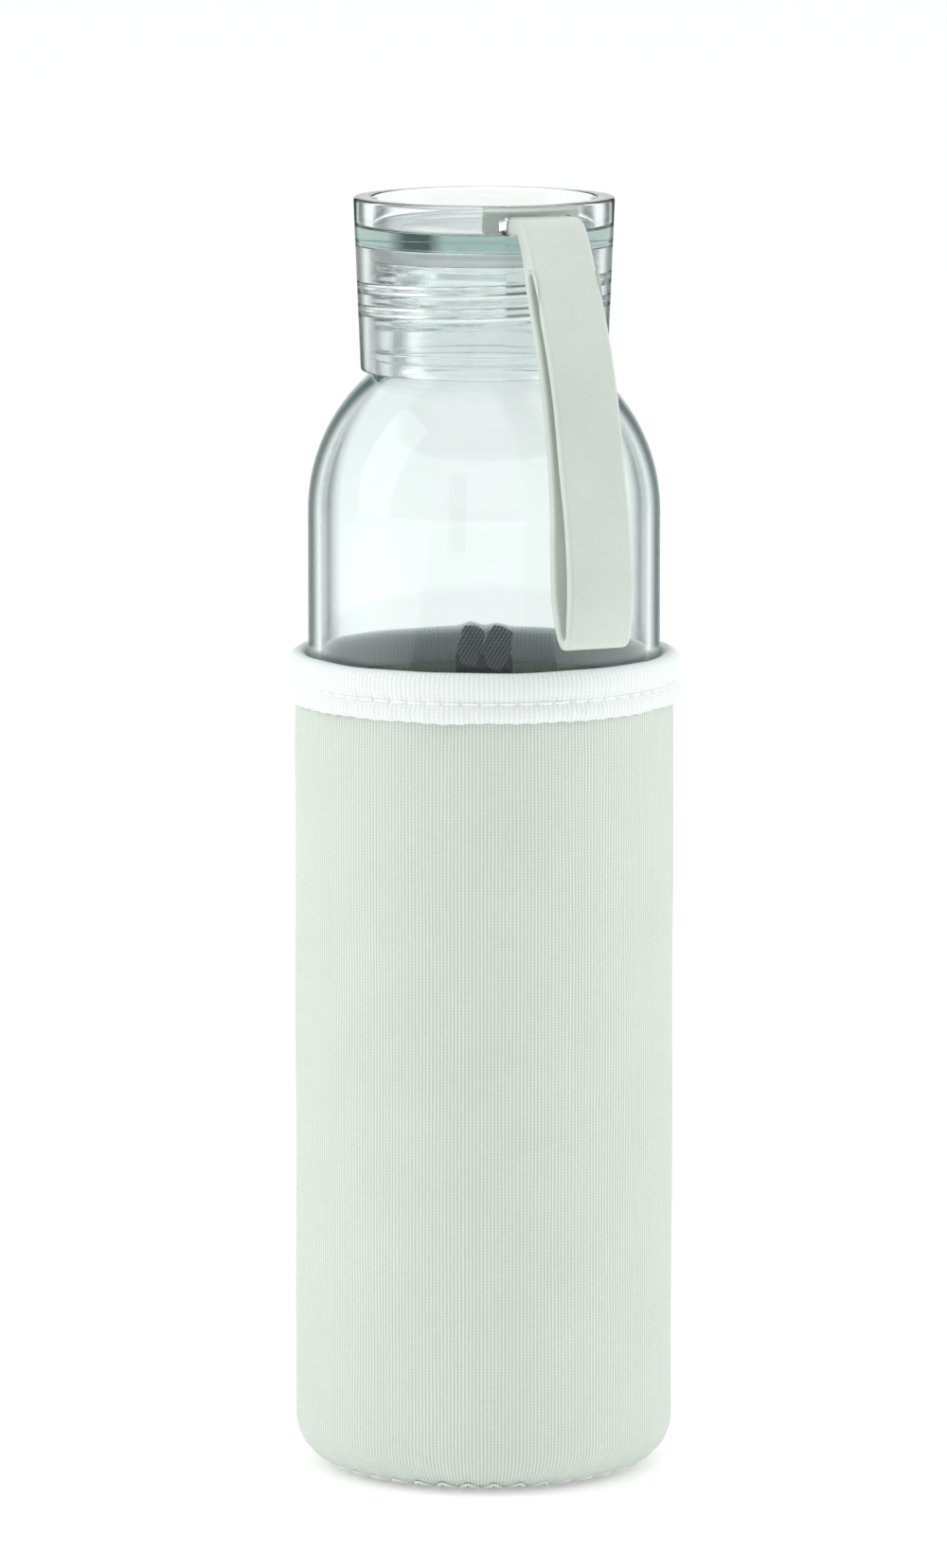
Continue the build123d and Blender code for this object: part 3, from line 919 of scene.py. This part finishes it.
viewLook = {
    "azimuth": -26.0, "turn": 0.067, "distance": 1.55, "height": 0.3466, "pitch": 8.37,
    "lens": 208.75,
}
studioLook = {
    "front": 0.28, "back": 1.0, "wallTilt": 0.35, "wallFade": (-1.0, 0.2),
    "wallColour": (0.97, 1.0, 0.99, 1),
    "floorSize": 14, "floorColour": (0.90, 0.895, 0.885, 1), "floorGlow": 0.21,
    "flagColour": (0.10, 0.15, 0.148, 1), "flagReach": (0.12, 0.42), "flagDark": (-0.6, 0.1),
    "flagAway": 0.6, "flagHeight": 0.3,
    "frontCardColour": (0.30, 0.34, 0.335, 1), "frontCardSize": (1.6, 1.5), "frontCardAway": 1.15,
}
# each lamp: to the right, away from the camera, its height, the height it is aimed at, size, watts
lamps = {
    "softboxLeft": (-1.15, -0.18, 0.7, 0.1, (0.7, 1.3), 5.2),
    "softboxRight": (1.15, -0.18, 0.7, 0.1, (0.7, 1.3), 4.0),
    "frontFill": (0, -1.7, 1.0, 0.1, (1.8, 1.2), 3.6),
    "overhead": (0, 0, 2.2, 0, (2.4, 2.4), 5),
}
lampsInReflections = ["overhead"]
viewTurn = radians(viewLook["azimuth"])
rightward = Vector((cos(viewTurn), sin(viewTurn), 0))
forward = Vector((-sin(viewTurn), cos(viewTurn), 0))
upward = Vector((0, 0, 1))


def addCamera(look):
    bpy.ops.object.camera_add(
        location=forward * -look["distance"] + upward * look["height"],
        rotation=(radians(90 - look["pitch"]), 0, viewTurn + radians(look["turn"])),
    )
    camera = bpy.context.object
    camera.name = "camera"
    camera.data.lens = look["lens"]
    camera.data.sensor_width = 36
    scene.camera = camera


def addFloor(look):
    clearSelection()
    bpy.ops.mesh.primitive_plane_add(size=look["floorSize"], location=(0, 0, 0))
    floor = nameActive("floor")
    n = Nodes("paleFloor")
    n.finish(**{
        "Base Color": look["floorColour"], "Roughness": 0.9, "Specular IOR Level": 0.1,
        "Emission Color": (1, 1, 1, 1), "Emission Strength": look["floorGlow"],
    })
    floor.data.materials.append(n.material)


def addCard(name, glow):
    # glowing card that lights nothing: it is seen only in glass and reflections
    clearSelection()
    bpy.ops.mesh.primitive_plane_add(size=1)
    card = nameActive(name)
    n = Nodes(name + "Glow")
    n.finish(**{
        "Base Color": (0, 0, 0, 1), "Roughness": 1.0, "Specular IOR Level": 0.0,
        "Emission Color": glow, "Emission Strength": 1.0,
    })
    card.data.materials.append(n.material)
    card.visible_camera = card.visible_diffuse = card.visible_shadow = False
    return card, n


def addFlag(name, look, side):
    # grey card beside the backdrop, fading out at both edges
    flag, n = addCard(name, look["flagColour"])
    inside, outside = look["flagReach"]
    flag.scale = (outside - inside, 1.0, 1)
    settleTransform(flag)
    split = n.add("SeparateXYZ")
    n.plug(n.place(), split.inputs[0])
    across = n.times(split.outputs["X"], 2 * side / (outside - inside))
    near = n.remap(across, -1, look["flagDark"][0], 1, 0)
    far = n.remap(across, look["flagDark"][1], 1, 0, 1)
    fade = n.math("MAXIMUM", near, far)
    n.plug(n.mix(fade, look["flagColour"], (1, 1, 1, 1)), n.shader.inputs["Emission Color"])
    flag.rotation_euler = (radians(90), 0, viewTurn)
    flag.location = rightward * side * (inside + outside) / 2 + forward * look["flagAway"]
    flag.location.z = look["flagHeight"]


def addFrontCard(look):
    # grey card lying in front, so that the glass doesn't reflect the bright floor
    card = addCard("frontCard", look["frontCardColour"])[0]
    card.scale = (*look["frontCardSize"], 1)
    card.rotation_euler = (0, 0, viewTurn)
    card.location = forward * -look["frontCardAway"] + upward * 0.002
    card.visible_transmission = False


def addLamp(name, right, away, height, aimHeight, size, watts):
    place = rightward * right + forward * away + upward * height
    bpy.ops.object.light_add(type="AREA", location=place)
    lamp = bpy.context.object
    lamp.name = name
    lamp.data.shape = "RECTANGLE"
    lamp.data.size, lamp.data.size_y = size
    lamp.data.energy = watts
    lamp.visible_glossy = name in lampsInReflections
    lamp.rotation_euler = (place - upward * aimHeight).to_track_quat("Z", "Y").to_euler()


def addWorld(look):
    # bright behind the bottle, darker on the camera's side
    world = bpy.data.worlds.new("softRoom")
    scene.world = world
    world.use_nodes = True
    tree = world.node_tree
    background = tree.nodes["Background"]
    coords = tree.nodes.new("ShaderNodeTexCoord")
    facing = tree.nodes.new("ShaderNodeVectorMath")
    facing.operation = "DOT_PRODUCT"
    facing.inputs[1].default_value = forward + upward * look["wallTilt"]
    ramp = tree.nodes.new("ShaderNodeMapRange")
    ramp.inputs["From Min"].default_value, ramp.inputs["From Max"].default_value = look["wallFade"]
    ramp.inputs["To Min"].default_value = look["front"]
    ramp.inputs["To Max"].default_value = look["back"]
    tree.links.new(coords.outputs["Generated"], facing.inputs[0])
    tree.links.new(facing.outputs["Value"], ramp.inputs["Value"])
    tree.links.new(ramp.outputs["Result"], background.inputs["Strength"])
    background.inputs["Color"].default_value = look["wallColour"]


addCamera(viewLook)
addFloor(studioLook)
addWorld(studioLook)
addFlag("flagLeft", studioLook, -1)
addFlag("flagRight", studioLook, 1)
addFrontCard(studioLook)
scene.view_settings.view_transform = "Standard"
for name, settings in lamps.items():
    addLamp(name, *settings)
print("studio ready")
